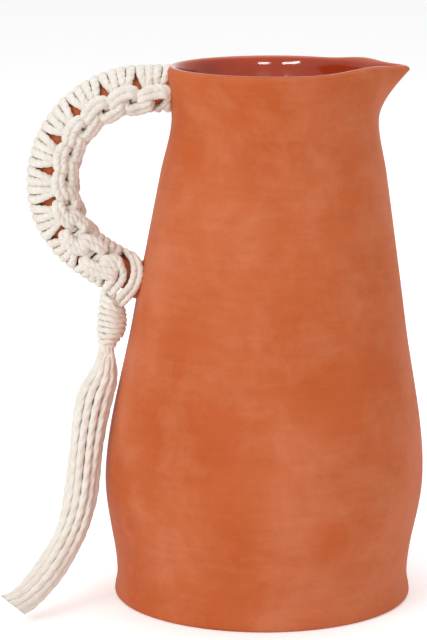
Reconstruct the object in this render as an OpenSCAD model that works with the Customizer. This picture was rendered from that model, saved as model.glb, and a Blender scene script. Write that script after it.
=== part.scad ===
// Terracotta water jug with a poured lip, a glazed inside and a round handle.
// The handle is dressed in square-knotted cotton cord that ends in a wrapped
// knot and a tassel. Millimetres, Z up. The origin is the centre of the flat
// foot on the table, +X points to the lip and -Y to the side the tassel lies on.

/* [Jug] */
// Height of the rim above the table
jug_height = 249; // [240:1:262]
// Radius of the foot's rolled edge
foot_radius = 69.8; // [64:0.5:76]
// Radius at the waist just above the foot
waist_radius = 68.6; // [62:0.5:74]
// Height of the waist
waist_height = 10; // [8:1:14]
// Radius of the belly
belly_radius = 74.7; // [70:0.5:80]
// Height of the belly
belly_height = 57; // [48:1:66]
// Radius of the shoulder
shoulder_radius = 63.8; // [59:0.5:68]
// Depth of the shoulder below the rim
shoulder_depth = 119; // [109:1:129]
// Radius of the throat
throat_radius = 52.2; // [48:0.5:56]
// Depth of the throat below the rim
throat_depth = 49; // [41:1:59]
// Radius of the neck, the narrowest place
neck_radius = 47.7; // [44:0.5:51]
// Depth of the neck below the rim
neck_depth = 24; // [19:1:29]
// Mean radius of the rim, without the lip
rim_radius = 51; // [48:0.5:55]
// How much wider the rim is across the jug than along it
rim_oval = 1.2; // [0:0.2:3]
// How far the mouth leans towards the lip
lean = 5.4; // [0:0.2:8]
// Height from which the jug leans
lean_start = 30; // [20:1:60]

/* [Walls] */
// Thickness of the clay wall
wall = 6; // [4:0.5:8]
// Thickness of the wall at the rim
rim_wall = 4.2; // [3:0.2:6]
// Thickness of the clay floor
floor_wall = 7; // [5:0.5:10]
// Rolled edge of the foot
foot_roll = 1.6; // [1:0.1:3]
// Radius where the inside wall meets the floor
floor_fillet = 16; // [8:1:22]
// Thickness of the glaze on the inside
glaze = 0.5; // [0.3:0.1:1]

/* [Lip] */
// How far the lip is pulled out past the rim
lip_reach = 12.5; // [6:0.5:15]
// Angle beside the lip's point at which its pull falls to half
lip_angle = 8; // [6:0.5:14]
// How far the rim is pinched in beside the lip
lip_pinch = 3.3; // [0:0.1:5]
// How far the rim rises beside the lip
lip_rise = 1.6; // [0:0.2:3]

/* [Handle] */
// Thickness of the round handle
handle_thickness = 14.2; // [12:0.2:16]
// Depth of the handle's top run below the rim
handle_depth = 10.4; // [8:0.2:17]
// Distance from the jug's axis at which the top run ends
handle_start = 54.4; // [52:0.2:60]
// Radius of the handle's bow
bow_radius = 44; // [42:1:46]
// Radius of the handle's heel
heel_radius = 38; // [36:1:40]
// Angle that the heel turns through
heel_turn = 50; // [47:1:53]
// Radius of the handle's tail
tail_radius = 89; // [84:1:94]
// Angle that the tail turns through
tail_turn = 20; // [17:1:23]
// How much the handle's radius grows at its roots
root_flare = 0.8; // [0.3:0.1:1]

/* [Knotted cord] */
// Thickness of the cord
cord = 2.76; // [2.4:0.02:2.9]
// Number of square knots
knots = 9; // [8:1:9]
// Distance of the first knot from the jug's wall
first_knot = 14; // [13.5:0.5:16]
// Distance of the last knot from the jug's wall
last_knot = 13; // [12:0.5:16]
// Angle of the two ridges of knots round the handle, from its outer side
ridge_angle = 110; // [104:1:116]

/* [Wrapped knot] */
// Outer diameter of the wrapped knot
wrap_diameter = 13; // [12:0.5:14]
// Length of the wrapping
wrap_length = 20.8; // [20:0.2:23]
// Turns of cord in the wrapping
wrap_turns = 7; // [5:1:7]
// Thickness of the cord in the wrapping
wrap_cord_size = 2.2; // [1.8:0.1:2.3]
// How far the knot hangs out in front of the handle's centre
knot_forward = 8; // [7:0.5:10]
// Drop from the handle's centre line to the knot's upper end
knot_drop = 15; // [14.5:0.5:18]
// Radius of the knot's round ends, on which it turns
knot_ball = 3.3; // [3:0.1:3.6]
// Running gap between the parts that turn on each other
swing_gap = 0.35; // [0.3:0.05:0.6]

/* [Tassel] */
// Number of cords in the tassel's outer layer
tassel_outer = 10; // [8:1:10]
// Number of cords in the tassel's inner layer
tassel_inner = 5; // [4:1:5]
// Thickness of one tassel cord
tassel_cord_size = 2.6; // [2.2:0.1:2.7]
// Radius of the circle on which the outer cords lie
tassel_spread = 5.6; // [5.4:0.1:6]

/* [Hidden] */
tassel_count = tassel_outer + tassel_inner + 1;
shoulder_height = jug_height - shoulder_depth;
throat_height = jug_height - throat_depth;
neck_height = jug_height - neck_depth;
handle_top = jug_height - handle_depth;
clay_colour = "#c96a3f";
glaze_colour = "#7e2416";
cotton_colour = "#efe6d6";
jug_sides = 48;
cord_sides = 6;
tassel_sides = 8;
handle_sides = 20;
core_sides = 16;

// Vectors and angles
function unit(v) = v / norm(v);
function arc_length(radius, angle) = radius * angle * PI / 180;
function arc_angle(radius, length) = length / radius * 180 / PI;
function bell(x, centre, width) = exp(-pow((x - centre) / width, 2));

// A smooth curve through points [t, value], level where it turns back.
function slope(p, i) = i == 0 || i == len(p) - 1 ? 0
    : (p[i][1] - p[i-1][1]) * (p[i+1][1] - p[i][1]) <= 0 ? 0
    : (p[i+1][1] - p[i-1][1]) / (p[i+1][0] - p[i-1][0]);
function span_of(p, t, i = 0) = i >= len(p) - 2 || t < p[i+1][0] ? i : span_of(p, t, i + 1);
function hermite(a, b, ma, mb, w, u) =
    a * (2*u*u*u - 3*u*u + 1) + b * (3*u*u - 2*u*u*u)
    + w * (ma * (u*u*u - 2*u*u + u) + mb * (u*u*u - u*u));
function curve(p, t) = let (i = span_of(p, t), w = p[i+1][0] - p[i][0])
    hermite(p[i][1], p[i+1][1], slope(p, i), slope(p, i + 1), w,
        min(1, max(0, (t - p[i][0]) / w)));

// A closed solid over a list of rings that all have the same number of points.
// Each four-sided field is split along its shorter diagonal, so two solids that
// share the points of a surface also share its faces.
module loft(rings) {
    n = len(rings[0]);
    m = len(rings);
    polyhedron(points = [for (r = rings) each r],
        faces = concat(
            [[for (k = [0 : n-1]) k]],
            [for (i = [0 : m-2], k = [0 : n-1]) let (j = (k + 1) % n,
                    a = i*n + k, b = i*n + j, c = a + n, d = b + n)
                each norm(rings[i][k] - rings[i+1][j]) < norm(rings[i][j] - rings[i+1][k])
                    ? [[a, c, d], [a, d, b]] : [[a, c, b], [c, d, b]]],
            [[for (k = [n-1 : -1 : 0]) (m-1)*n + k]]));
}

// A tube of the given line of [point, radius]; its rings turn as little as possible.
function tube_rings(line, sides) = let (n = len(line),
        along = [for (i = [0 : n-1]) unit(line[min(i+1, n-1)][0] - line[max(i-1, 0)][0])],
        first = unit(cross(along[0], [0.31, 0.87, 0.4])),
        across = [for (i = 0, v = first; i < n; i = i + 1,
            v = i < n ? unit(v - (v * along[i]) * along[i]) : v) v])
    [for (i = [0 : n-1]) let (other = cross(along[i], across[i])) [for (k = [0 : sides-1])
        line[i][0] + line[i][1] * (cos(360 * k / sides) * across[i]
            + sin(360 * k / sides) * other)]];

// The jug's outside, given by height and by angle from the lip
radius_points = [[foot_roll, foot_radius], [waist_height, waist_radius],
    [belly_height, belly_radius], [shoulder_height, shoulder_radius],
    [throat_height, throat_radius], [neck_height, neck_radius], [jug_height, rim_radius]];
function lean_at(h) = lean * min(1, max(0, (h - lean_start) / (neck_height - lean_start)));
function flare(h) = max(0, (h - neck_height) / (jug_height - neck_height));
function lip_pull(t, a) =
    pow(t, 1.4) * lip_reach / (1 + pow(a / (lip_angle * (2.2 - 1.2 * t)), 2))
    - t * t * (lip_pinch * bell(abs(a), 50, 18) + rim_oval * cos(2 * a));
function jug_radius(h, a) = curve(radius_points, h) + lip_pull(flare(h), a);
function jug_point(h, a, inset) = let (r = jug_radius(h, a) - inset)
    [lean_at(h) + r * cos(a), r * sin(a),
        h + pow(flare(h), 2) * lip_rise * bell(abs(a), 28, 20)];

// The jug's angles lie closer together at the lip than at the handle.
function jug_angle(k) = let (u = 360 * k / jug_sides - 180) u - 0.55 * 180 / PI * sin(u);
function jug_ring(h, inset) = [for (k = [0 : jug_sides-1]) jug_point(h, jug_angle(k), inset)];
function flat_ring(h, radius, centre = 0) = [for (k = [0 : jug_sides-1])
    [centre + radius * cos(jug_angle(k)), radius * sin(jug_angle(k)), h]];

function steps(a, b, n) = [for (i = [0 : n-1]) a + (b - a) * i / n];
rim_round = rim_wall / 2;
rim_start = jug_height - rim_round;
outer_heights = concat(steps(foot_roll, waist_height, 2), steps(waist_height, belly_height, 3),
    steps(belly_height, shoulder_height, 3), steps(shoulder_height, throat_height, 2),
    steps(throat_height, neck_height, 2), steps(neck_height, rim_start, 4));
outer_rings = [for (h = outer_heights) jug_ring(h, 0)];
rim_rings = [for (a = [0, 60, 120])
    jug_ring(rim_start + rim_round * sin(a), rim_round * (1 - cos(a)))];

// The clay wall thins out from the neck's wall to the rim's.
function wall_at(h) = rim_wall + (wall - rim_wall) * min(1, (jug_height - h) / 30);
fillet_top = floor_wall + floor_fillet;
fillet_centre = jug_radius(fillet_top, 90) - wall_at(fillet_top) - floor_fillet;
inner_heights = concat(steps(rim_start, neck_height, 2), steps(neck_height, throat_height, 1),
    steps(throat_height, shoulder_height, 2), steps(shoulder_height, fillet_top, 3));
function inner_rings(skin) = concat(
    [for (h = inner_heights) jug_ring(h, wall_at(h) + skin)],
    [for (a = [0, 30, 60, 90]) flat_ring(fillet_top - (floor_fillet - skin) * sin(a),
        fillet_centre + (floor_fillet - skin) * cos(a))]);
function backwards(list) = [for (i = [len(list)-1 : -1 : 0]) list[i]];

module jug_body() {
    foot_rings = [flat_ring(0, foot_radius - foot_roll),
        flat_ring(foot_roll * 0.3, foot_radius - foot_roll * 0.3)];
    color(clay_colour) loft(concat(foot_rings, outer_rings, rim_rings, inner_rings(0)));
}

module inner_glaze() {
    color(glaze_colour) loft(concat(backwards(inner_rings(0)), inner_rings(glaze)));
}

// The handle's centre line: a straight run, the bow, the heel and the tail, in
// the plane through the jug's axis. Its heading turns from outwards to inwards.
function outward(heading) = [-sin(heading), 0, cos(heading)];
function arc_end(p, radius, from, to) = p + radius * (outward(to) - outward(from));
heel_heading = 90 + heel_turn;
tail_heading = heel_heading + tail_turn;
top_wall = jug_radius(handle_top, 180) - lean_at(handle_top);
run_start = [-top_wall, 0, handle_top];
bow_start = [-handle_start, 0, handle_top];
heel_start = arc_end(bow_start, bow_radius, 0, 90);
tail_start = arc_end(heel_start, heel_radius, 90, heel_heading);
tail_end = arc_end(tail_start, tail_radius, heel_heading, tail_heading);
to_bow = handle_start - top_wall;
to_heel = to_bow + arc_length(bow_radius, 90);
to_tail = to_heel + arc_length(heel_radius, heel_turn);
handle_length = to_tail + arc_length(tail_radius, tail_turn);
function heading_at(s) = s < to_bow ? 0
    : s < to_heel ? arc_angle(bow_radius, s - to_bow)
    : s < to_tail ? 90 + arc_angle(heel_radius, s - to_heel)
    : heel_heading + arc_angle(tail_radius, s - to_tail);
function handle_at(s) = s < to_bow ? run_start + [-s, 0, 0]
    : s < to_heel ? arc_end(bow_start, bow_radius, 0, heading_at(s))
    : s < to_tail ? arc_end(heel_start, heel_radius, 90, heading_at(s))
    : arc_end(tail_start, tail_radius, heel_heading, heading_at(s));

// The slice of the jug behind the handle, which the handle is cut to
module jug_side() {
    heights = concat([for (h = outer_heights) if (h >= belly_height) h],
        [rim_start, jug_height + root_flare]);
    sector = [for (k = [0 : jug_sides-1]) if (abs(jug_angle(k)) > 140) jug_angle(k)];
    order = concat([for (a = sector) if (a > 0) a], [for (a = sector) if (a < 0) a]);
    loft([for (h = heights) concat([[0, 0, h]], [for (a = order) jug_point(h, a, 0)])]);
}

// The handle flares a little at its roots and runs on into the wall, where the
// slice of the jug cuts it off.
handle_line = let (r = handle_thickness / 2, f = root_flare)
    [for (p = concat([[-wall / 2, r + f], [0.7 * f, r + 0.35 * f], [2 * f, r]],
            [for (s = steps(to_bow, to_heel, 10)) [s, r]],
            [for (s = steps(to_heel, to_tail, 5)) [s, r]],
            [for (s = steps(to_tail, handle_length - 2 * f, 4)) [s, r]],
            [[handle_length - 2 * f, r], [handle_length - 0.7 * f, r + 0.35 * f],
                [handle_length + wall / 2, r + f]]))
        [handle_at(min(p[0], handle_length))
            - max(0, p[0] - handle_length) * [cos(tail_heading), 0, sin(tail_heading)], p[1]]];
module handle() {
    color(clay_colour) difference() {
        loft(tube_rings(handle_line, handle_sides));
        jug_side();
    }
}

// The knotted cord. A place on the handle is given by its distance from the
// wall, its angle from the handle's outer side towards the front, and its
// distance from the centre line.
function on_handle(s, a, r) =
    handle_at(s) + r * (cos(a) * outward(heading_at(s)) + [0, -sin(a), 0]);
pitch = (handle_length - first_knot - last_knot) / (knots - 1);

// Half of a cord's turn round a ridge, from its middle to the middle of the
// face. Each row holds the distance from the turn's middle in pitches, the angle
// from the ridge, and the height over the clay and the radius in cords.
wide_turn = [[0, 26, 1.81, 0.43], [0.4, 20, 1.56, 0.39], [0.42, 3, 0.44, 0.35],
    [0.4, -30, 0.65, 0.43], [0.385, -70, 0.71, 0.48], [0.375, -110, 0.71, 0.48]];
tight_turn = [[0, 13, 1.81, 0.43], [0.31, 9.5, 1.81, 0.39], [0.345, -2.5, 1.2, 0.35],
    [0.18, -30, 0.65, 0.43], [0.145, -70, 0.71, 0.48], [0.125, -110, 0.71, 0.48]];
last = 2 * len(wide_turn) - 2;

// The turns next to the wall are pushed together, clear of the flared neck.
crowded = 6;
function clear_of_wall(s) = s < crowded ? s + 0.14 * (crowded - s) : s;
function face_angle(a, half) = a >= -30 ? a : -30 + (a + 30) * (half - 30) / 80;

// One turn with its middle at s, on the front (1) or back (-1) ridge, of a cord
// that crosses the handle's outer (1) or inner (-1) face
function turn(shape, s, side, face) = let (m = len(shape) - 1,
        half = face > 0 ? ridge_angle : 180 - ridge_angle)
    [for (i = [-m : m]) let (p = shape[abs(i)])
        [clear_of_wall(s + sign(i) * p[0] * pitch),
            side * (ridge_angle + face * face_angle(p[1], half)),
            handle_thickness / 2 + p[2] * cord, p[3] * cord]];
function part_of(list, from, to) = [for (i = [from : to]) list[i]];

// Where the wrapped knot hangs, and where the tassel hangs from it
knot_end_gap = 2.3;
knot_out = 3;
knot_top = handle_at(handle_length - last_knot) + [0, -knot_forward, -knot_drop];
knot_span = wrap_length + 2 * knot_end_gap;
knot_down = unit([-knot_out, 0, -knot_span]);
knot_bottom = knot_top + knot_span * knot_down;

// The cords' ways from the last knot to the top of the wrapped knot, as points
// relative to the knot's upper end
cord_end = knot_ball + swing_gap + 0.25;
outer_ends = [[[6.8, -1.9, 20.4], [4.6, -4.9, 15.5], [1.6, -5.4, 10.5], [-0.6, -4.1, 6.6],
        [-1.3, -1.3, cord_end]],
    [[1.8, -4, 16.2], [-1.2, -3.9, 11], [-2.8, -1.3, 6.5], [-1.3, 1.3, cord_end]]];
inner_ends = [[[6.5, 3.5, 20.6], [6.3, -0.7, 15.8], [4.9, -2.2, 10], [2.5, -2, 6.3],
        [1.3, -1.3, cord_end]],
    [[9.5, 3.5, 19.2], [8.6, -1.3, 13.7], [7, -2.2, 8], [4.2, -0.4, 5.2],
        [1.3, 1.3, cord_end]]];

function outer_turns(front, back) = concat(
    part_of(turn(front, first_knot - pitch, 1, 1), last - 3, last - 1),
    [for (k = [0 : knots-1]) each concat(
        part_of(turn(back, first_knot + (k - 0.5) * pitch, -1, 1), 0, last - 1),
        part_of(turn(front, first_knot + k * pitch, 1, 1), 0, k < knots-1 ? last - 1 : last / 2))]);
// The inner face is narrower, so a turn has one row less on it.
function narrow(shape) = [for (i = [0 : len(shape)-1]) if (i != len(shape) - 2) shape[i]];
function inner_turns(front, back) = let (a = narrow(front), b = narrow(back), n = last - 2,
        start = turn(a, first_knot - pitch / 2, 1, -1))
    concat([start[n / 2] - [0.26 * pitch, 0, 0, 0.03 * cord]], part_of(start, n / 2, n - 1),
        [for (k = [0 : knots-1]) each concat(
            part_of(turn(b, first_knot + k * pitch, -1, -1), 0, k < knots-1 ? n - 1 : n),
            k < knots-1 ? part_of(turn(a, first_knot + (k + 0.5) * pitch, 1, -1), 0, n - 1)
                : [])]);
function cord_line(turns, ends) = concat(
    [for (p = turns) [on_handle(p[0], p[1], p[2]), p[3]]],
    [for (i = [0 : len(ends)-1]) [knot_top + ends[i], (i < len(ends)-1 ? 0.42 : 0.36) * cord]]);

module outer_cord(number) {
    shapes = number == 1 ? [wide_turn, tight_turn] : [tight_turn, wide_turn];
    color(cotton_colour) loft(tube_rings(
        cord_line(outer_turns(shapes[0], shapes[1]), outer_ends[number-1]), cord_sides));
}

module inner_cord(number) {
    shapes = number == 1 ? [wide_turn, tight_turn] : [tight_turn, wide_turn];
    color(cotton_colour) loft(tube_rings(
        cord_line(inner_turns(shapes[0], shapes[1]), inner_ends[number-1]), cord_sides));
}

// The gathered cords inside the wrapping, with a round end to turn on at each end
core_radius = wrap_diameter / 2 - wrap_cord_size - 0.2;
ball_neck = 0.75 * knot_ball;
ball_turn = 180 - asin(ball_neck / knot_ball);
core_profile = concat([for (i = [0 : 6]) let (t = 4 + (ball_turn - 4) * i / 6)
        [-knot_ball * cos(t), knot_ball * sin(t)]],
    [[knot_end_gap + 0.9, ball_neck], [knot_end_gap + 1, core_radius]]);
core_line = concat(core_profile,
    [for (p = backwards(core_profile)) [knot_span - p[0], p[1]]]);
module knot_core() {
    color(cotton_colour)
        loft(tube_rings([for (p = core_line) [knot_top + p[0] * knot_down, p[1]]], core_sides));
}

// The wrapping: one cord wound down the core, with straight ends
wrap_radius = (wrap_diameter - wrap_cord_size) / 2;
wrap_pitch = (wrap_length - wrap_cord_size) / wrap_turns;
wrap_steps = 12;
wrap_side = [0, -1, 0];
wrap_other = cross(knot_down, wrap_side);
function wrap_at(i) = let (a = 360 * i / wrap_steps)
    knot_top + (knot_end_gap + wrap_cord_size / 2 + wrap_pitch * i / wrap_steps) * knot_down
    + wrap_radius * (cos(a) * wrap_side + sin(a) * wrap_other);
wrap_last = wrap_turns * wrap_steps;
wrap_coil = [for (i = [0 : wrap_last]) wrap_at(i)];
wrap_line = concat([wrap_coil[0] - wrap_cord_size * wrap_other], wrap_coil,
    [wrap_coil[wrap_last] + wrap_cord_size * wrap_other]);
wrap_least_gap = min([for (i = [0 : wrap_last], j = [i + wrap_steps / 2 : wrap_last])
    norm(wrap_coil[i] - wrap_coil[j])]) - wrap_cord_size;
echo(wrap_least_gap = wrap_least_gap);
module wrap_cord() {
    color(cotton_colour)
        loft(tube_rings([for (p = wrap_line) [p, wrap_cord_size / 2]], cord_sides));
}

// The tassel hangs from the knot's lower end, swings out and lies on the table.
// Each point holds its place beside that end and its share of the fall.
tassel_rest = tassel_spread + tassel_cord_size / 2 + 0.3;
tassel_fall = knot_bottom[2] - tassel_rest;
tassel_points = [[-0.2, 0, (knot_ball + swing_gap) / tassel_fall], [-1.5, -0.6, 0.093],
    [-5, -1.8, 0.172], [-7.5, -3.5, 0.27], [-9.2, -5.5, 0.381], [-10.5, -8.5, 0.493],
    [-12, -12, 0.6], [-14.5, -16.5, 0.698], [-18.5, -22, 0.786], [-24, -28.5, 0.865],
    [-30, -34.8, 0.93], [-36, -40.5, 0.976], [-41.5, -45.5, 1]];
tassel_line = [for (p = tassel_points) knot_bottom + [p[0], p[1], -p[2] * tassel_fall]];
// The bundle is drawn together under the knot.
tassel_gather = [0.64, 0.87];
tassel_across = unit([45.5, -41.5, 0]);
function tassel_place(number) = number <= tassel_outer
    ? [tassel_spread, 360 * (number - 1) / tassel_outer]
    : number <= tassel_outer + tassel_inner
    ? [0.49 * tassel_spread, 360 * (number - tassel_outer - 1) / tassel_inner + 18] : [0, 0];
function tassel_rings(number) = let (n = len(tassel_line), place = tassel_place(number))
    [for (i = [0 : n-1]) let (
            along = unit(tassel_line[min(i+1, n-1)] - tassel_line[max(i-1, 0)]),
            u = unit(tassel_across - (tassel_across * along) * along),
            v = cross(along, u),
            scale = i < len(tassel_gather) ? tassel_gather[i] : 1,
            middle = tassel_line[i]
                + scale * place[0] * (cos(place[1]) * u + sin(place[1]) * v))
        [for (k = [0 : tassel_sides-1]) middle + scale * tassel_cord_size / 2
            * (cos(360 * k / tassel_sides) * u + sin(360 * k / tassel_sides) * v)]];
module tassel_cord(number) {
    color(cotton_colour) loft(tassel_rings(number));
}

jug_body();
inner_glaze();
handle();
outer_cord(1);  // outer_cord_1
outer_cord(2);  // outer_cord_2
inner_cord(1);  // inner_cord_1
inner_cord(2);  // inner_cord_2
knot_core();
wrap_cord();
for (i = [1 : tassel_count])
    tassel_cord(i);
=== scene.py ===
"""Terracotta water jug with a poured lip, a glazed inside and a handle dressed in
square-knotted cotton cord that ends in a wrapped knot and a tassel."""
import math

import bpy
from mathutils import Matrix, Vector


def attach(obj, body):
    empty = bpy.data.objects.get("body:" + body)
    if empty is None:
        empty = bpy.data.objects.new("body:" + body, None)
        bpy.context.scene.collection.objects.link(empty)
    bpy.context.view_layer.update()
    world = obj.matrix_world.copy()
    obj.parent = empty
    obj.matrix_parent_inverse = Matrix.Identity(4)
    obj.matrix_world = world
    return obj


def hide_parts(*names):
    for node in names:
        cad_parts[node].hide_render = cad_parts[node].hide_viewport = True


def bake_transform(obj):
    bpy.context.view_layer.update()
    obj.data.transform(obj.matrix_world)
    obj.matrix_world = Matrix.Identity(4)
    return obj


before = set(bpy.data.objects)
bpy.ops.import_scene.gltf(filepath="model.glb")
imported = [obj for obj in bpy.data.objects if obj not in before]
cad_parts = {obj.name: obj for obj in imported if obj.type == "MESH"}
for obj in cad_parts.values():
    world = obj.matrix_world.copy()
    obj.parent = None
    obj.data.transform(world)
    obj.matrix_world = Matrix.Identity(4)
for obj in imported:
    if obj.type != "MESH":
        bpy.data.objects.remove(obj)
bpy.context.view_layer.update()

MM = 0.001


# The sizes and routes that the jug's source gives, in millimetres

JUG_HEIGHT = 249.0
NECK_HEIGHT = 225.0
LEAN, LEAN_START = 5.4, 30.0
RADII = [(1.6, 69.8), (10, 68.6), (57, 74.7), (130, 63.8), (200, 52.2), (225, 47.7), (249, 51)]
WALL, RIM_WALL, FLOOR, FLOOR_FILLET, FOOT_ROLL, GLAZE = 6.0, 4.2, 7.0, 16.0, 1.6, 0.5
LIP_REACH, LIP_ANGLE, LIP_PINCH, LIP_RISE, RIM_OVAL = 11.9, 8.0, 3.3, 1.6, 1.2

HANDLE = 14.2
HANDLE_TOP, HANDLE_START = 238.6, 54.4
BOW, HEEL, TAIL = 44.0, 38.0, 89.0
HEEL_TURN, TAIL_TURN = 50.0, 20.0

CORD = 2.76
KNOTS, FIRST_KNOT, LAST_KNOT = 9, 14.0, 13.0
# The row of loops drifts round the handle: degrees from its outside, by distance
RIDGES = [(0, 110), (43, 112), (82, 130), (116, 102), (144, 86)]
WIDE = [(0, 27, 1.95), (0.41, 20, 1.7), (0.42, 3, 0.5), (0.4, -30, 0.65), (0.385, -70, 0.8),
        (0.375, -110, 0.88)]
TIGHT = [(0, 13, 1.9), (0.36, 9.5, 1.9), (0.4, -2.5, 1.05), (0.29, -28, 0.6),
         (0.137, -70, 0.82), (0.12, -110, 0.9)]

KNOT_TOP = Vector((-69.906, -8, 140.357))
KNOT_BOTTOM = Vector((-72.885, -8, 115.132))
WRAP_DIAMETER, WRAP_LENGTH = 13.0, 20.8

TASSEL_CORD, TASSEL_SPREAD = 2.6, 5.6
TASSEL_FALL = KNOT_BOTTOM.z - 8.2
TASSEL_POINTS = [(-0.2, 0, 3.65 / TASSEL_FALL), (-1.5, -0.6, 0.093), (-5, -1.8, 0.172),
                 (-7.5, -3.5, 0.27), (-9.2, -5.5, 0.381), (-10.5, -8.5, 0.493), (-12, -12, 0.6),
                 (-14.5, -16.5, 0.698), (-18.5, -22, 0.786), (-24, -28.5, 0.865),
                 (-30, -34.8, 0.93), (-36, -40.5, 0.976), (-41.5, -45.5, 1)]
# Scissors cut the tassel off in one slanting plane.
TASSEL_CUT, TASSEL_CUT_FACES = Vector((-117.4, -53, 10.2)), Vector((-0.609, -0.276, -0.744))
CUT_ROOM = 1.8


# Camera, where the photographer stood: 1.24 m in front, a little above the rim

def photographer():
    camera = bpy.data.cameras.new("camera")
    camera.lens = 151.9
    camera.sensor_width = 36
    place = bpy.data.objects.new("camera", camera)
    place.location = (-0.023, -1.238, 0.371)
    place.rotation_euler = (math.radians(79), 0, 0)
    bpy.context.collection.objects.link(place)
    bpy.context.scene.camera = place


photographer()


# Materials

def srgb(hex_colour):
    """A colour as written on screen, made linear for the shader."""
    parts = [int(hex_colour[i:i + 2], 16) / 255 for i in (1, 3, 5)]
    return tuple(c / 12.92 if c <= 0.04045 else ((c + 0.055) / 1.055) ** 2.4
                 for c in parts) + (1,)


def add(tree, kind, settings=(), **inputs):
    """One node with its settings, and its sockets set or linked."""
    node = tree.nodes.new(kind)
    for name, value in dict(settings).items():
        setattr(node, name, value)
    for name, value in inputs.items():
        socket = node.inputs[int(name[1:])] if name[0] == "i" and name[1:].isdigit() \
            else node.inputs[name.replace("_", " ")]
        if isinstance(value, bpy.types.NodeSocket):
            tree.links.new(value, socket)
        else:
            socket.default_value = value
    return node


def finish_of(name):
    """A new material, its node tree and its shader."""
    material = bpy.data.materials.new(name)
    material.use_nodes = True
    tree = material.node_tree
    return material, tree, tree.nodes["Principled BSDF"]


def scale_for(size_mm):
    """The texture scale at which one feature is that many millimetres wide."""
    return 1 / (size_mm * MM)


def ramp(tree, value, stops):
    """Colours or greys at the given places of a value."""
    node = add(tree, "ShaderNodeValToRGB", Fac=value)
    elements = node.color_ramp.elements
    while len(elements) < len(stops):
        elements.new(0.5)
    for element, (place, colour) in zip(elements, stops):
        element.position = place
        element.color = srgb(colour) if isinstance(colour, str) else (colour,) * 3 + (1,)
    return node.outputs["Color"]


def bare_terracotta():
    """Unglazed red earthenware, thrown on a wheel, wiped with a sponge and fired:
    matt, with a pale cloudy bloom, wheel lines and small pits."""
    material, tree, shader = finish_of("unglazed_terracotta")
    place = add(tree, "ShaderNodeTexCoord").outputs["Object"]
    clouds = add(tree, "ShaderNodeTexNoise", Vector=place, Scale=scale_for(80), Detail=4.0,
                 Roughness=0.55, Distortion=0.4).outputs["Fac"]
    patches = add(tree, "ShaderNodeTexNoise", Vector=place, Scale=scale_for(30), Detail=7.0,
                  Roughness=0.68, Distortion=0.3).outputs["Fac"]
    # The sponge leaves long faint strokes that climb a little round the jug.
    stroke_place = add(tree, "ShaderNodeMapping", Vector=place,
                       Rotation=(0.0, math.radians(14), 0.0), Scale=(1.0, 1.0, 9.0)).outputs[0]
    strokes = add(tree, "ShaderNodeTexNoise", Vector=stroke_place, Scale=scale_for(30),
                  Detail=4.0, Roughness=0.7).outputs["Fac"]
    wheel_place = add(tree, "ShaderNodeMapping", Vector=place, Scale=(0.4, 0.4, 12.0)).outputs[0]
    wheel = add(tree, "ShaderNodeTexNoise", Vector=wheel_place, Scale=scale_for(22), Detail=3.0,
                Roughness=0.6).outputs["Fac"]
    grit = add(tree, "ShaderNodeTexNoise", Vector=place, Scale=scale_for(1.2), Detail=3.0,
               Roughness=0.6).outputs["Fac"]
    body = ramp(tree, clouds, [(0.35, "#bf5826"), (0.5, "#c56233"), (0.68, "#cf734b")])
    bloom = ramp(tree, patches, [(0.46, 0.0), (0.72, 1.0)])
    bloomed = add(tree, "ShaderNodeMix", {"data_type": "RGBA"}, i0=add(
        tree, "ShaderNodeMath", {"operation": "MULTIPLY"}, i0=bloom, i1=0.45).outputs[0],
        i6=body, i7=srgb("#d58560")).outputs[2]
    stroked = add(tree, "ShaderNodeMix", {"data_type": "RGBA", "blend_type": "MULTIPLY"},
                  i0=0.3, i6=bloomed,
                  i7=ramp(tree, strokes, [(0.3, "#e6dad3"), (0.6, "#ffffff")])).outputs[2]
    coloured = add(tree, "ShaderNodeMix", {"data_type": "RGBA", "blend_type": "MULTIPLY"},
                   i0=0.18, i6=stroked,
                   i7=ramp(tree, grit, [(0.28, "#bda99d"), (0.42, "#ffffff")])).outputs[2]
    tree.links.new(coloured, shader.inputs["Base Color"])
    dull = add(tree, "ShaderNodeMapRange", Value=patches, To_Min=0.52, To_Max=0.7)
    tree.links.new(dull.outputs[0], shader.inputs["Roughness"])
    lines = add(tree, "ShaderNodeBump", Height=wheel, Strength=0.1, Distance=0.5 * MM)
    pits = add(tree, "ShaderNodeBump", Height=grit, Strength=0.25, Distance=0.12 * MM,
               Normal=lines.outputs[0])
    tree.links.new(pits.outputs[0], shader.inputs["Normal"])
    shader.inputs["IOR"].default_value = 1.45
    shader.inputs["Specular IOR Level"].default_value = 0.2
    return material


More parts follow.
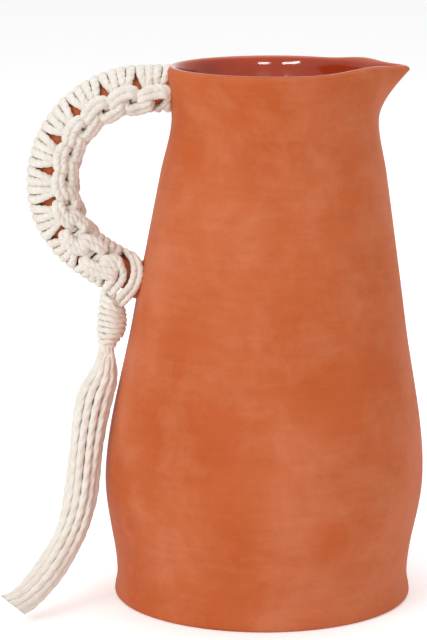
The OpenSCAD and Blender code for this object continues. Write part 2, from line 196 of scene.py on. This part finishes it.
def clear_glaze():
    """A transparent lead-free glaze fired over red clay: deep red-brown, wet and
    glossy, and paler where it is thin at the rim."""
    material, tree, shader = finish_of("fired_clear_glaze_on_red_clay")
    place = add(tree, "ShaderNodeTexCoord").outputs["Object"]
    height = add(tree, "ShaderNodeSeparateXYZ", Vector=place).outputs["Z"]
    thin = add(tree, "ShaderNodeMapRange", Value=height, From_Min=247.8 * MM,
               From_Max=249.3 * MM).outputs[0]
    pooled = add(tree, "ShaderNodeTexNoise", Vector=place, Scale=scale_for(35), Detail=4.0
                 ).outputs["Fac"]
    deep = ramp(tree, pooled, [(0.35, "#aa3815"), (0.65, "#be451f")])
    colour = add(tree, "ShaderNodeMix", {"data_type": "RGBA"}, i0=thin, i6=deep,
                 i7=srgb("#c0583a")).outputs[2]
    tree.links.new(colour, shader.inputs["Base Color"])
    ripple = add(tree, "ShaderNodeTexNoise", Vector=place, Scale=scale_for(9), Detail=2.0
                 ).outputs["Fac"]
    uneven = add(tree, "ShaderNodeBump", Height=ripple, Strength=0.18, Distance=0.6 * MM)
    tree.links.new(uneven.outputs[0], shader.inputs["Normal"])
    shader.inputs["Roughness"].default_value = 0.1
    shader.inputs["IOR"].default_value = 1.5
    shader.inputs["Specular IOR Level"].default_value = 0.36
    return material


def cotton_cord():
    """Natural cotton macrame cord, three plies twisted and unbleached: cream, soft
    and matt, with fine fibres that run along each ply."""
    material, tree, shader = finish_of("unbleached_cotton_cord")
    lay = add(tree, "ShaderNodeUVMap", {"uv_map": "lay"}).outputs["UV"]
    # The map runs once round the cord and in millimetres along it; the fibres of
    # a ply are drawn 0.25 mm wide, coarser than real ones, so that they show.
    fibre_place = add(tree, "ShaderNodeMapping", Vector=lay, Scale=(34.0, 0.55, 1.0)).outputs[0]
    fibres = add(tree, "ShaderNodeTexNoise", Vector=fibre_place, Scale=1.0, Detail=3.0,
                 Roughness=0.65, Distortion=0.3).outputs["Fac"]
    place = add(tree, "ShaderNodeTexCoord").outputs["Object"]
    tufts = add(tree, "ShaderNodeTexNoise", Vector=place, Scale=scale_for(7), Detail=4.0
                ).outputs["Fac"]
    cream = ramp(tree, tufts, [(0.3, "#eee5da"), (0.6, "#f4efe6")])
    colour = add(tree, "ShaderNodeMix", {"data_type": "RGBA", "blend_type": "MULTIPLY"},
                 i0=0.4, i6=cream,
                 i7=ramp(tree, fibres, [(0.3, "#e2d2c2"), (0.52, "#ffffff")])).outputs[2]
    tree.links.new(colour, shader.inputs["Base Color"])
    fuzz = add(tree, "ShaderNodeBump", Height=fibres, Strength=0.5, Distance=0.15 * MM)
    tree.links.new(fuzz.outputs[0], shader.inputs["Normal"])
    shader.inputs["Roughness"].default_value = 0.9
    shader.inputs["Sheen Weight"].default_value = 0.25
    shader.inputs["Sheen Roughness"].default_value = 0.4
    shader.inputs["IOR"].default_value = 1.4
    return material


TERRACOTTA = bare_terracotta()
GLAZED = clear_glaze()
COTTON = cotton_cord()


# Twisted cord

def along_curve(points, step):
    """Even steps along a smooth curve through rows of a place and other numbers."""
    rows = [[*p[0], *p[1:]] for p in points]
    rows = [[2 * a - b for a, b in zip(rows[0], rows[1])]] + rows \
        + [[2 * a - b for a, b in zip(rows[-1], rows[-2])]]
    fine = []
    for a, b, c, d in zip(rows, rows[1:], rows[2:], rows[3:]):
        length = math.dist(b[:3], c[:3])
        n = max(2, math.ceil(length / (0.3 * step)))
        # Tangents that fit uneven spacing keep the curve from swinging out.
        before, after = math.dist(a[:3], b[:3]), math.dist(c[:3], d[:3])
        for k in range(n):
            t = k / n
            row = []
            for pa, pb, pc, pd in zip(a, b, c, d):
                m1 = length * (pc - pa) / (before + length)
                m2 = length * (pd - pb) / (length + after)
                row.append((2 * t**3 - 3 * t**2 + 1) * pb + (t**3 - 2 * t**2 + t) * m1
                           + (3 * t**2 - 2 * t**3) * pc + (t**3 - t**2) * m2)
            fine.append(row)
    fine.append(rows[-2])
    lengths = [0.0]
    for p, q in zip(fine, fine[1:]):
        lengths.append(lengths[-1] + math.dist(p[:3], q[:3]))
    count = max(2, round(lengths[-1] / step))
    even, i = [], 0
    for k in range(count + 1):
        s = lengths[-1] * k / count
        while i < len(fine) - 2 and lengths[i + 1] < s:
            i += 1
        w = (s - lengths[i]) / max(1e-9, lengths[i + 1] - lengths[i])
        even.append([p + (q - p) * min(1, max(0, w)) for p, q in zip(fine[i], fine[i + 1])])
    return even, lengths[-1]


def past_cut(place, cut):
    return (Vector(place[:3]) - cut[0]).dot(cut[1])


def onto_cut(place, heading, cut):
    return place - heading * past_cut(place, cut) / heading.dot(cut[1])


def twisted_cord(name, points, step=0.6, lay=10.0, plies=3, phase=0.0, groove=0.16, cut=None):
    """A cord of twisted plies along rows of (place, radius, flat, nx, ny, nz): it is
    pressed flat by that share against what lies along the normal n. A cut is a point
    and a direction: the cord ends in that plane."""
    even, length = along_curve(points, step)
    gap = length / (len(even) - 1)
    if cut:
        even = [p for p in even if past_cut(p, cut) < -CUT_ROOM] \
            + [p for p in even if past_cut(p, cut) > 0][:1]
    sides = 6 * plies
    middle = [Vector(p[:3]) for p in even]
    last = len(middle) - 1
    heading = [(middle[min(i + 1, last)] - middle[max(i - 1, 0)]).normalized()
               for i in range(last + 1)]
    side = heading[0].orthogonal().normalized()
    corners, uvs = [], []
    for i in range(last + 1):
        side = (side - heading[i] * side.dot(heading[i])).normalized()
        other = heading[i].cross(side)
        radius, flat = even[i][3], even[i][4]
        normal = Vector(even[i][5:8])
        normal = (normal - heading[i] * normal.dot(heading[i]))
        normal = normal.normalized() if normal.length > 0.2 else None
        for k in range(sides):
            around = 2 * math.pi * k / sides
            turned = around + phase + 2 * math.pi * gap * i / lay
            reach = radius * (1 - groove * (1 - abs(math.cos(plies / 2 * around))))
            out = reach * (math.cos(turned) * side + math.sin(turned) * other)
            if normal is not None and flat:
                up = out.dot(normal)
                out = out * (1 + 0.8 * flat) - normal * up * 1.8 * flat
            corner = middle[i] + out
            if cut and i == last:
                corner = onto_cut(corner, heading[i], cut)
            corners.append(corner * MM)
    faces = [(i * sides + k, i * sides + (k + 1) % sides,
              (i + 1) * sides + (k + 1) % sides, (i + 1) * sides + k)
             for i in range(last) for k in range(sides)]
    if cut:
        middle[last] = onto_cut(middle[last], heading[last], cut)
        length = sum(math.dist(a, b) for a, b in zip(middle, middle[1:]))
    corners += [middle[0] * MM, middle[last] * MM]
    first_tip, last_tip = len(corners) - 2, len(corners) - 1
    for k in range(sides):
        faces.append((first_tip, (k + 1) % sides, k))
        faces.append((last_tip, last * sides + k, last * sides + (k + 1) % sides))
    mesh = bpy.data.meshes.new(name)
    mesh.from_pydata([tuple(c) for c in corners], [], faces)
    lay_map = mesh.uv_layers.new(name="lay")
    for polygon in mesh.polygons:
        columns = [mesh.loops[j].vertex_index % sides for j in polygon.loop_indices
                   if mesh.loops[j].vertex_index < first_tip]
        seam = 0 in columns and sides - 1 in columns
        for j in polygon.loop_indices:
            v = mesh.loops[j].vertex_index
            ring, column = (0 if v == first_tip else last if v == last_tip else v // sides,
                            0.5 if v >= first_tip else v % sides)
            if seam and column == 0:
                column = sides
            lay_map.data[j].uv = (column / sides, gap * ring)
    mesh.polygons.foreach_set("use_smooth", [True] * len(mesh.polygons))
    mesh.materials.append(COTTON)
    cord = bpy.data.objects.new(name, mesh)
    bpy.context.collection.objects.link(cord)
    return cord, [p * MM for p in middle], length * MM


# The tassel's cords hang from the wrapped knot and lie out on the table.

def tassel_cords():
    line = [KNOT_BOTTOM + Vector((x, y, -fall * TASSEL_FALL)) for x, y, fall in TASSEL_POINTS]
    line.append(line[-1] + Vector((-6.5, -6, 0)))
    across = Vector((45.5, -41.5, 0)).normalized()
    last = len(line) - 1
    for number in range(1, 17):
        spread, angle = (TASSEL_SPREAD, 360 / 11 * (number - 1)) if number <= 11 else \
            (0.45 * TASSEL_SPREAD, 72 * (number - 12) + 18)
        angle = math.radians(angle)
        # Each cord starts inside the wrapping, drawn together with the others.
        rows = [(KNOT_BOTTOM + Vector((reach * spread * math.cos(angle),
                                       reach * spread * math.sin(angle), z)), 1.15)
                for reach, z in ((0.3, 7), (0.46, 3.4))]
        for i, centre in enumerate(line):
            heading = (line[min(i + 1, last)] - line[max(i - 1, 0)]).normalized()
            u = (across - heading * across.dot(heading)).normalized()
            v = heading.cross(u)
            gather = (0.68, 0.95)[i] if i < 2 else 1.2 - 0.42 * ((i - 2) / (last - 2)) ** 1.2
            wander = 0.35 * math.sin(2.1 * number + 1.7 * i) if 2 < i < last else 0
            rows.append((centre + gather * (spread + wander) * (math.cos(angle) * u
                                                                + math.sin(angle) * v),
                         (1.5, 1.75)[i] if i < 2 else 1.9 - 0.2 * i / last))
        points = [(place, radius, 0, 0, 0, 1) for place, radius in rows]
        cord, path, length = twisted_cord(f"tassel_strand_{number}", points, step=0.9,
                                          lay=21.0, phase=1.3 * number, groove=0.2,
                                          cut=(TASSEL_CUT, TASSEL_CUT_FACES))
        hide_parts(f"tassel_cord_{number}")
        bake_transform(cord)


tassel_cords()


# The square knots round the handle

def outward(heading):
    return Vector((-math.sin(math.radians(heading)), 0, math.cos(math.radians(heading))))


def arc_end(place, radius, start, end):
    return place + radius * (outward(end) - outward(start))


def jug_radius_behind(h):
    """The jug's radius at its handle side."""
    return curve(RADII, h) - RIM_OVAL * flare(h) ** 2 \
        + flare(h) ** 1.4 * LIP_REACH / (1 + (180 / (LIP_ANGLE * (2.2 - 1.2 * flare(h)))) ** 2)


def flare(h):
    return max(0, (h - NECK_HEIGHT) / (JUG_HEIGHT - NECK_HEIGHT))


def lean_at(h):
    return LEAN * min(1, max(0, (h - LEAN_START) / (NECK_HEIGHT - LEAN_START)))


def curve(points, t):
    """The source's smooth curve through (t, value) points."""
    def slope(i):
        if i in (0, len(points) - 1):
            return 0
        (ta, a), (_, b), (tc, c) = points[i - 1:i + 2]
        return 0 if (b - a) * (c - b) <= 0 else (c - a) / (tc - ta)
    i = max(k for k in range(len(points) - 1) if k == 0 or t >= points[k][0])
    (ta, a), (tb, b) = points[i:i + 2]
    w = tb - ta
    u = min(1, max(0, (t - ta) / w))
    return a * (2 * u**3 - 3 * u**2 + 1) + b * (3 * u**2 - 2 * u**3) \
        + w * (slope(i) * (u**3 - 2 * u**2 + u) + slope(i + 1) * (u**3 - u**2))


TOP_WALL = jug_radius_behind(HANDLE_TOP) - lean_at(HANDLE_TOP)
BOW_START = Vector((-HANDLE_START, 0, HANDLE_TOP))
HEEL_START = arc_end(BOW_START, BOW, 0, 90)
TAIL_START = arc_end(HEEL_START, HEEL, 90, 90 + HEEL_TURN)
TAIL_HEADING = 90 + HEEL_TURN + TAIL_TURN
TO_BOW = HANDLE_START - TOP_WALL
TO_HEEL = TO_BOW + math.radians(90) * BOW
TO_TAIL = TO_HEEL + math.radians(HEEL_TURN) * HEEL
HANDLE_LENGTH = TO_TAIL + math.radians(TAIL_TURN) * TAIL


def handle_at(s):
    """The handle's centre line and its heading at a distance from the wall."""
    if s < TO_BOW:
        return Vector((-TOP_WALL - s, 0, HANDLE_TOP)), 0
    if s < TO_HEEL:
        heading = math.degrees((s - TO_BOW) / BOW)
        return arc_end(BOW_START, BOW, 0, heading), heading
    if s < TO_TAIL:
        heading = 90 + math.degrees((s - TO_HEEL) / HEEL)
        return arc_end(HEEL_START, HEEL, 90, heading), heading
    heading = 90 + HEEL_TURN + math.degrees((s - TO_TAIL) / TAIL)
    return arc_end(TAIL_START, TAIL, 90 + HEEL_TURN, heading), heading


PITCH = (HANDLE_LENGTH - FIRST_KNOT - LAST_KNOT) / (KNOTS - 1)
# Radii at the rows of a turn: the soft cord is fuller than the source's tube, and
# is nipped where the other cord's loop pulls it in.
FULL = {1: [2.05, 2.0, 1.7, 1.6, 1.95, 2.15], -1: [2.05, 2.0, 1.7, 1.6, 1.7, 1.7]}
FLAT = [0.06, 0.04, 0.0, 0.08, 0.1, 0.12]
# Each loop lies aslant, its far end turned to the inside of the handle.
ASLANT = 5.0


def uneven(seed):
    """A small unevenness of the hand, the same each time."""
    return math.sin(12.9 * seed) * 0.6 + math.sin(5.3 * seed + 1) * 0.4


def turn(shape, s, side, face, longer=0.0):
    """Half a turn round the handle with a loop over the other pair of cords."""
    ridge = curve(RIDGES, s)
    half = ridge if face > 0 else 180 - ridge
    rows = []
    for i in range(-5, 6):
        ahead, angle, level = shape[abs(i)]
        if angle < -30:
            angle = -30 + (angle + 30) * (half - 30) / 80
        at = s + math.copysign(1, i) * (ahead + 0.014 * uneven(s + 1.3 * i)) * PITCH
        at += longer * PITCH if i in (1, 2) else 0
        # The first knots are pushed up against the wall.
        at = 6 - 1.2 * (6 - at) if at < 6 else at
        centre, heading = handle_at(at)
        slant = ASLANT * (i > 0) - ASLANT * (i < 0) if abs(i) < 3 else 0
        round_it = math.radians(side * (ridge + face * angle + slant
                                        + 2.2 * uneven(s + 0.7 * side)))
        away = math.cos(round_it) * outward(heading) + Vector((0, -math.sin(round_it), 0))
        rows.append((centre + (HANDLE / 2 + level * CORD) * away,
                     FULL[face][abs(i)], FLAT[abs(i)], *away))
    return rows


def free_rows(offsets, radius):
    return [(KNOT_TOP + Vector(p), radius if i < len(offsets) - 1 else 1.2, 0, 0, 0, 1)
            for i, p in enumerate(offsets)]


OUTER_ENDS = [[(4.2, -3.2, 17.2), (5.2, -2.5, 13.8), (4.4, -2.3, 10.6), (2.3, -2.4, 7.8),
               (0.4, -2.2, 5.2), (-0.2, -1.3, 2.2), (0, 0, -3)],
              [(1, -3.7, 14.6), (0.2, -3.2, 11.4), (-1.7, -2.8, 8.6), (-3.5, -2.4, 6),
               (-4, -1.6, 3.2), (-3, -0.8, 0.6), (-2, 0, -3)]]
INNER_ENDS = [[(7.5, 4.6, 21.7), (9.5, 1.2, 19.3), (10.3, -1.8, 15.2), (9.7, -3, 11.6),
               (8.2, -3.4, 8.2), (6.1, -3.4, 5.8), (4.1, -3.3, 3.8), (2.7, -2.6, 1.8),
               (2, -1, -3)],
              [(10.3, 4, 20.6), (12.2, 0.6, 18.8), (13.2, -1.6, 15.4), (12.9, -2.6, 12),
               (11.4, -2.9, 8.2), (9.2, -2.9, 4.9), (7, -2.8, 2.2), (4.8, -2.2, -0.2),
               (2.6, -1, -3)]]


def outer_rows(front, back):
    rows = turn(front, FIRST_KNOT - PITCH, 1, 1)[8:10]
    for k in range(KNOTS):
        rows += turn(back, FIRST_KNOT + (k - 0.5) * PITCH, -1, 1)[:10]
        rows += turn(front, FIRST_KNOT + k * PITCH, 1, 1)[:10 if k < KNOTS - 1 else 6]
    return rows


def inner_rows(front, back):
    rows = turn(front, FIRST_KNOT - PITCH / 2, 1, -1)[:10]
    for k in range(KNOTS):
        rows += turn(back, FIRST_KNOT + k * PITCH, -1, -1)[:10 if k < KNOTS - 1 else 11]
        if k < KNOTS - 1:
            rows += turn(front, FIRST_KNOT + (k + 0.5) * PITCH, 1, -1,
                         0.17 if k == KNOTS - 2 else 0)[:10]
    return rows


def knotted_cords():
    for number, shapes in ((1, (WIDE, TIGHT)), (2, (TIGHT, WIDE))):
        for name, rows in (("outer", outer_rows(*shapes) + free_rows(OUTER_ENDS[number - 1], 1.95)),
                           ("inner", inner_rows(*shapes) + free_rows(INNER_ENDS[number - 1], 1.65))):
            cord, _, _ = twisted_cord(f"knotted_{name}_{number}", rows, step=0.6, lay=9.0,
                                      phase=0.9 * number)
            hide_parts(f"{name}_cord_{number}")
            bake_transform(cord)


knotted_cords()


# The wrapped knot

def wrapping():
    """One cord wound round the gathered ends, its turns pulled a little askew."""
    down = (KNOT_BOTTOM - KNOT_TOP).normalized()
    front = Vector((0, -1, 0))
    right = down.cross(front)
    rows = []
    turns, per_turn = 7.6, 16
    total = round(turns * per_turn)
    for i in range(-3, total + 4):
        t = min(1, max(0, i / total))
        a = 2 * math.pi * i / per_turn
        barrel = curve([(0, 4.9), (0.4, 5.6), (0.75, 5.1), (1, 3.2)], t)
        # The first turns climb over the cords' ends on the left.
        askew = (2.7 * (1 - t) ** 1.5 - 0.6 * t) * math.sin(a) + 0.3 * uneven(0.37 * i)
        inward = 1.7 if i < 0 or i > total else 0
        depth = (WRAP_LENGTH - 0.4) * t - 0.8 - askew
        axis = KNOT_TOP + depth * down + Vector((0.8 * math.sin(math.pi * t), 0, 0))
        rows.append((axis + (barrel - inward) * (math.cos(a) * front + math.sin(a) * right),
                     1.5 + 0.1 * uneven(0.61 * i), 0, 0, 0, 1))
    cord, _, _ = twisted_cord("knot_wrapping", rows, step=0.6, lay=10.0)
    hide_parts("wrap_cord")
    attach(cord, "knot")


def gathered_ends():
    """The cords' ends inside the wrapping, seen only at its neck."""
    select_none()
    bpy.ops.mesh.primitive_cylinder_add(vertices=24, radius=3.2 * MM, depth=18 * MM,
                                        location=(KNOT_TOP + KNOT_BOTTOM) * 0.5 * MM)
    core = bpy.context.object
    core.name = "knot_filling"
    bpy.ops.object.mode_set(mode="EDIT")
    bpy.ops.mesh.select_all(action="SELECT")
    bpy.ops.mesh.bevel(offset=1.5 * MM, segments=4, affect="EDGES")
    bpy.ops.object.mode_set(mode="OBJECT")
    settle(core)
    core.data.uv_layers[0].name = "lay"
    core.data.materials.append(COTTON)
    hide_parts("knot_core")
    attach(core, "knot")


# Clay

def select_none():
    if bpy.context.object and bpy.context.object.mode != "OBJECT":
        bpy.ops.object.mode_set(mode="OBJECT")
    bpy.ops.object.select_all(action="DESELECT")


def settle(piece):
    """Puts a piece's place into its mesh and smooths it over its soft edges."""
    select_none()
    piece.select_set(True)
    bpy.context.view_layer.objects.active = piece
    bpy.ops.object.transform_apply(location=True, rotation=True, scale=True)
    bpy.ops.object.shade_smooth_by_angle(angle=math.radians(40))


def thrown(name, profile, steps, closed):
    """A profile of (radius, height) rows, drawn from a point by extruding it, and
    thrown round the upright axis."""
    select_none()
    bpy.ops.mesh.primitive_plane_add(size=MM, location=(0, 0, 0))
    piece = bpy.context.object
    piece.name = name
    bpy.ops.object.mode_set(mode="EDIT")
    bpy.ops.mesh.select_all(action="SELECT")
    bpy.ops.mesh.merge(type="CENTER")
    r, z = profile[0]
    bpy.ops.transform.translate(value=(r * MM, 0, z * MM))
    for (r0, z0), (r1, z1) in zip(profile, profile[1:]):
        bpy.ops.mesh.extrude_region_move(
            TRANSFORM_OT_translate={"value": ((r1 - r0) * MM, 0, (z1 - z0) * MM)})
    bpy.ops.mesh.select_all(action="SELECT")
    bpy.ops.mesh.spin(steps=steps, angle=2 * math.pi, center=(0, 0, 0), axis=(0, 0, 1))
    bpy.ops.mesh.select_all(action="SELECT")
    bpy.ops.mesh.remove_doubles(threshold=0.004 * MM)
    bpy.ops.mesh.normals_make_consistent(inside=False)
    bpy.ops.object.mode_set(mode="OBJECT")
    return piece


def pull_lip(piece):
    """The soft clay's mouth leans forward, is pinched, and its lip is pulled out."""
    for vertex in piece.data.vertices:
        x, y, z = (c / MM for c in vertex.co)
        r, a, t = math.hypot(x, y), math.atan2(y, x), flare(z)
        side = abs(math.degrees(a))
        # The rim's round edge is carried out whole, so the lip ends blunt.
        out = min(t, 0.93) / 0.93
        r += out ** 1.8 * LIP_REACH / (1 + (side / (LIP_ANGLE * (2.2 - 1.2 * out))) ** 2) \
            - t * t * (LIP_PINCH * math.exp(-((side - 50) / 18) ** 2)
                       + RIM_OVAL * math.cos(2 * a))
        rise = t * t * LIP_RISE * math.exp(-((side - 28) / 20) ** 2)
        vertex.co = ((lean_at(z) + r * math.cos(a)) * MM, r * math.sin(a) * MM,
                     (z + rise) * MM)


def wall_at(h):
    return RIM_WALL + (WALL - RIM_WALL) * min(1, (JUG_HEIGHT - h) / 30)


def inside_profile(skin, top):
    """The inside from the rim down to the middle of the floor."""
    start = FLOOR + FLOOR_FILLET
    centre = curve(RADII, start) - wall_at(start) - FLOOR_FILLET
    count = 90
    rows = [(curve(RADII, h) - wall_at(h) - skin, h)
            for h in (top + (start - top) * i / count for i in range(count + 1))]
    rows += [(centre + (FLOOR_FILLET - skin) * math.cos(a),
              start - (FLOOR_FILLET - skin) * math.sin(a))
             for a in (math.radians(9 * i) for i in range(1, 11))]
    return rows + [(centre * (1 - i / 6), FLOOR + skin) for i in range(1, 7)]


def clay_shell():
    """Body, foot and rim of the jug, thrown as one."""
    foot = [(0, 0), (34, 0), (JUG_FOOT - FOOT_ROLL, 0)]
    foot += [(JUG_FOOT - FOOT_ROLL * (1 - math.sin(a)), FOOT_ROLL * (1 - math.cos(a)))
             for a in (math.radians(18 * i) for i in range(1, 5))]
    count = 110
    outside = [(curve(RADII, h), h) for h in (
        FOOT_ROLL + (JUG_HEIGHT - RIM_WALL / 2 - FOOT_ROLL) * i / count
        for i in range(count + 1))]
    half = RIM_WALL / 2
    rim = [(curve(RADII, JUG_HEIGHT - half + half * math.sin(a)) - half * (1 - math.cos(a)),
            JUG_HEIGHT - half + half * math.sin(a))
           for a in (math.radians(15 * i) for i in range(1, 12))]
    inside = inside_profile(0, JUG_HEIGHT - half)
    shell = thrown("clay_shell", foot + outside + rim + inside, 180, True)
    pull_lip(shell)
    settle(shell)
    shell.data.materials.append(TERRACOTTA)
    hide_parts("jug_body")
    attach(shell, "jug")


def glaze_lining():
    """The glaze inside, which runs up over the rim and ends just past its crest."""
    half = RIM_WALL / 2
    top = JUG_HEIGHT - half
    middle = curve(RADII, top) - half
    crest = [math.radians(a) for a in range(165, 60, -15)]
    over = [(middle + (half + 0.05 + 0.3 * t) * math.cos(a), top + (half + 0.05 + 0.3 * t) * math.sin(a))
            for a, t in ((a, a / math.pi) for a in crest)]
    under = [(middle + (half - 0.3) * math.cos(a), top + (half - 0.3) * math.sin(a))
             for a in reversed(crest)]
    seen = inside_profile(GLAZE, top)
    hidden = [(r + 0.3, z - 0.3) for r, z in inside_profile(0, top)]
    hidden[-1] = (0, hidden[-1][1])
    lining = thrown("glaze_lining", seen[::-1] + over + under + hidden, 180, True)
    pull_lip(lining)
    settle(lining)
    lining.data.materials.append(GLAZED)
    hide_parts("inner_glaze")
    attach(lining, "jug")


def clay_handle():
    """A round coil of clay, bent to its loop and pressed on at both roots."""
    select_none()
    sections = 40
    bpy.ops.mesh.primitive_circle_add(
        vertices=sections, radius=HANDLE / 2 * MM, fill_type="NGON",
        location=(-(TOP_WALL - 4) * MM, 0, HANDLE_TOP * MM),
        rotation=(0, math.radians(-90), 0))
    handle = bpy.context.object
    handle.name = "clay_handle"
    bpy.ops.object.transform_apply(location=True, rotation=True, scale=True)
    bpy.ops.object.mode_set(mode="EDIT")
    bpy.ops.mesh.select_all(action="SELECT")
    reach = [-4, -0.5, 0.4, 1.3, 2.4, 3.8, TO_BOW]
    for a, b in zip(reach, reach[1:]):
        bpy.ops.mesh.extrude_region_move(
            TRANSFORM_OT_translate={"value": (-(b - a) * MM, 0, 0)})
    for place, radius, angle, start, steps in (
            (BOW_START, BOW, 90, 0, 24), (HEEL_START, HEEL, HEEL_TURN, 90, 14),
            (TAIL_START, TAIL, TAIL_TURN, 90 + HEEL_TURN, 10)):
        centre = (place - radius * outward(start)) * MM
        bpy.ops.mesh.spin(steps=steps, angle=math.radians(angle), center=centre,
                          axis=(0, 1, 0))
    way = Vector((-math.cos(math.radians(TAIL_HEADING)), 0,
                  -math.sin(math.radians(TAIL_HEADING))))
    bpy.ops.mesh.extrude_region_move(TRANSFORM_OT_translate={"value": way * 4 * MM})
    bpy.ops.mesh.select_all(action="SELECT")
    bpy.ops.mesh.remove_doubles(threshold=0.002 * MM)
    bpy.ops.mesh.normals_make_consistent(inside=False)
    bpy.ops.object.mode_set(mode="OBJECT")
    # Both roots are smeared out over the wall with a thumb.
    for vertex in handle.data.vertices:
        place = Vector(vertex.co) / MM
        s = -TOP_WALL - place.x if place.z > 200 else \
            (arc_end(TAIL_START, TAIL, 90 + HEEL_TURN, TAIL_HEADING) - place).dot(way)
        if place.z < 200 and place.x < -75 or s > 4.5:
            continue
        middle = Vector((place.x, 0, HANDLE_TOP)) if place.z > 200 else \
            arc_end(TAIL_START, TAIL, 90 + HEEL_TURN, TAIL_HEADING) - s * way
        grow = 1 + 0.30 * (max(0, 4.5 - max(s, 0)) / 4.5) ** 2.6
        vertex.co = (middle + (place - middle) * grow) * MM
    settle(handle)
    handle.data.materials.append(TERRACOTTA)
    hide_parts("handle")
    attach(handle, "jug")


JUG_FOOT = 69.8
wrapping()
gathered_ends()
clay_shell()
glaze_lining()
clay_handle()


# Studio: a white floor and soft light from large lamps

def studio():
    select_none()
    bpy.ops.mesh.primitive_plane_add(size=16, location=(0, 2, 0))
    floor = bpy.context.object
    floor.name = "floor"
    material, tree, shader = finish_of("white_paper_floor")
    shader.inputs["Base Color"].default_value = srgb("#ffffff")
    shader.inputs["Roughness"].default_value = 0.9
    rays = add(tree, "ShaderNodeLightPath")
    seen = add(tree, "ShaderNodeMath", {"operation": "MAXIMUM"},
               i0=rays.outputs["Is Camera Ray"], i1=rays.outputs["Is Glossy Ray"])
    glow = add(tree, "ShaderNodeMath", {"operation": "MULTIPLY"}, i0=seen.outputs[0], i1=0.28)
    shader.inputs["Emission Color"].default_value = (1, 1, 1, 1)
    tree.links.new(glow.outputs[0], shader.inputs["Emission Strength"])
    floor.data.materials.append(material)
    world = bpy.data.worlds.new("studio")
    bpy.context.scene.world = world
    world.use_nodes = True
    tree = world.node_tree
    back = tree.nodes["Background"]
    rays = add(tree, "ShaderNodeLightPath")
    shown = add(tree, "ShaderNodeMath", {"operation": "MAXIMUM"},
                i0=rays.outputs["Is Camera Ray"], i1=add(
                    tree, "ShaderNodeMath", {"operation": "MAXIMUM"},
                    i0=rays.outputs["Is Glossy Ray"],
                    i1=rays.outputs["Is Transmission Ray"]).outputs[0])
    white = add(tree, "ShaderNodeBackground", Color=(1, 1, 1, 1), Strength=1.0)
    back.inputs["Color"].default_value = (1, 1, 1, 1)
    back.inputs["Strength"].default_value = 0.62
    both = add(tree, "ShaderNodeMixShader", i0=shown.outputs[0], i1=back.outputs[0],
               i2=white.outputs[0])
    tree.links.new(both.outputs[0], tree.nodes["World Output"].inputs["Surface"])
    # The windows light the surfaces, and the two strips are seen only as glints.
    for name, place, size, power, lights, glints in (
            ("window_left", (-1.3, -1.5, 1.3), (1.2, 1.2), 18, True, False),
            ("window_right", (1.5, -1.1, 0.9), (1, 1), 2.4, True, False),
            ("ceiling", (0.1, 0.5, 1.8), (1.4, 1.4), 8, True, True),
            ("strip_left", (-0.8, -1.45, 1.38), (0.9, 0.22), 24, False, True),
            ("strip_right", (0.4, -1.6, 1.38), (0.4, 0.2), 9, False, True)):
        lamp = bpy.data.lights.new(name, "AREA")
        lamp.shape = "RECTANGLE"
        lamp.size, lamp.size_y = size
        lamp.energy = power
        lamp_place = bpy.data.objects.new(name, lamp)
        lamp_place.location = place
        lamp_place.rotation_euler = (Vector((0, 0, 0.12)) - Vector(place)
                                     ).to_track_quat("-Z", "Y").to_euler()
        lamp_place.visible_diffuse, lamp_place.visible_glossy = lights, glints
        bpy.context.collection.objects.link(lamp_place)
    bpy.context.scene.view_settings.view_transform = "Standard"


studio()
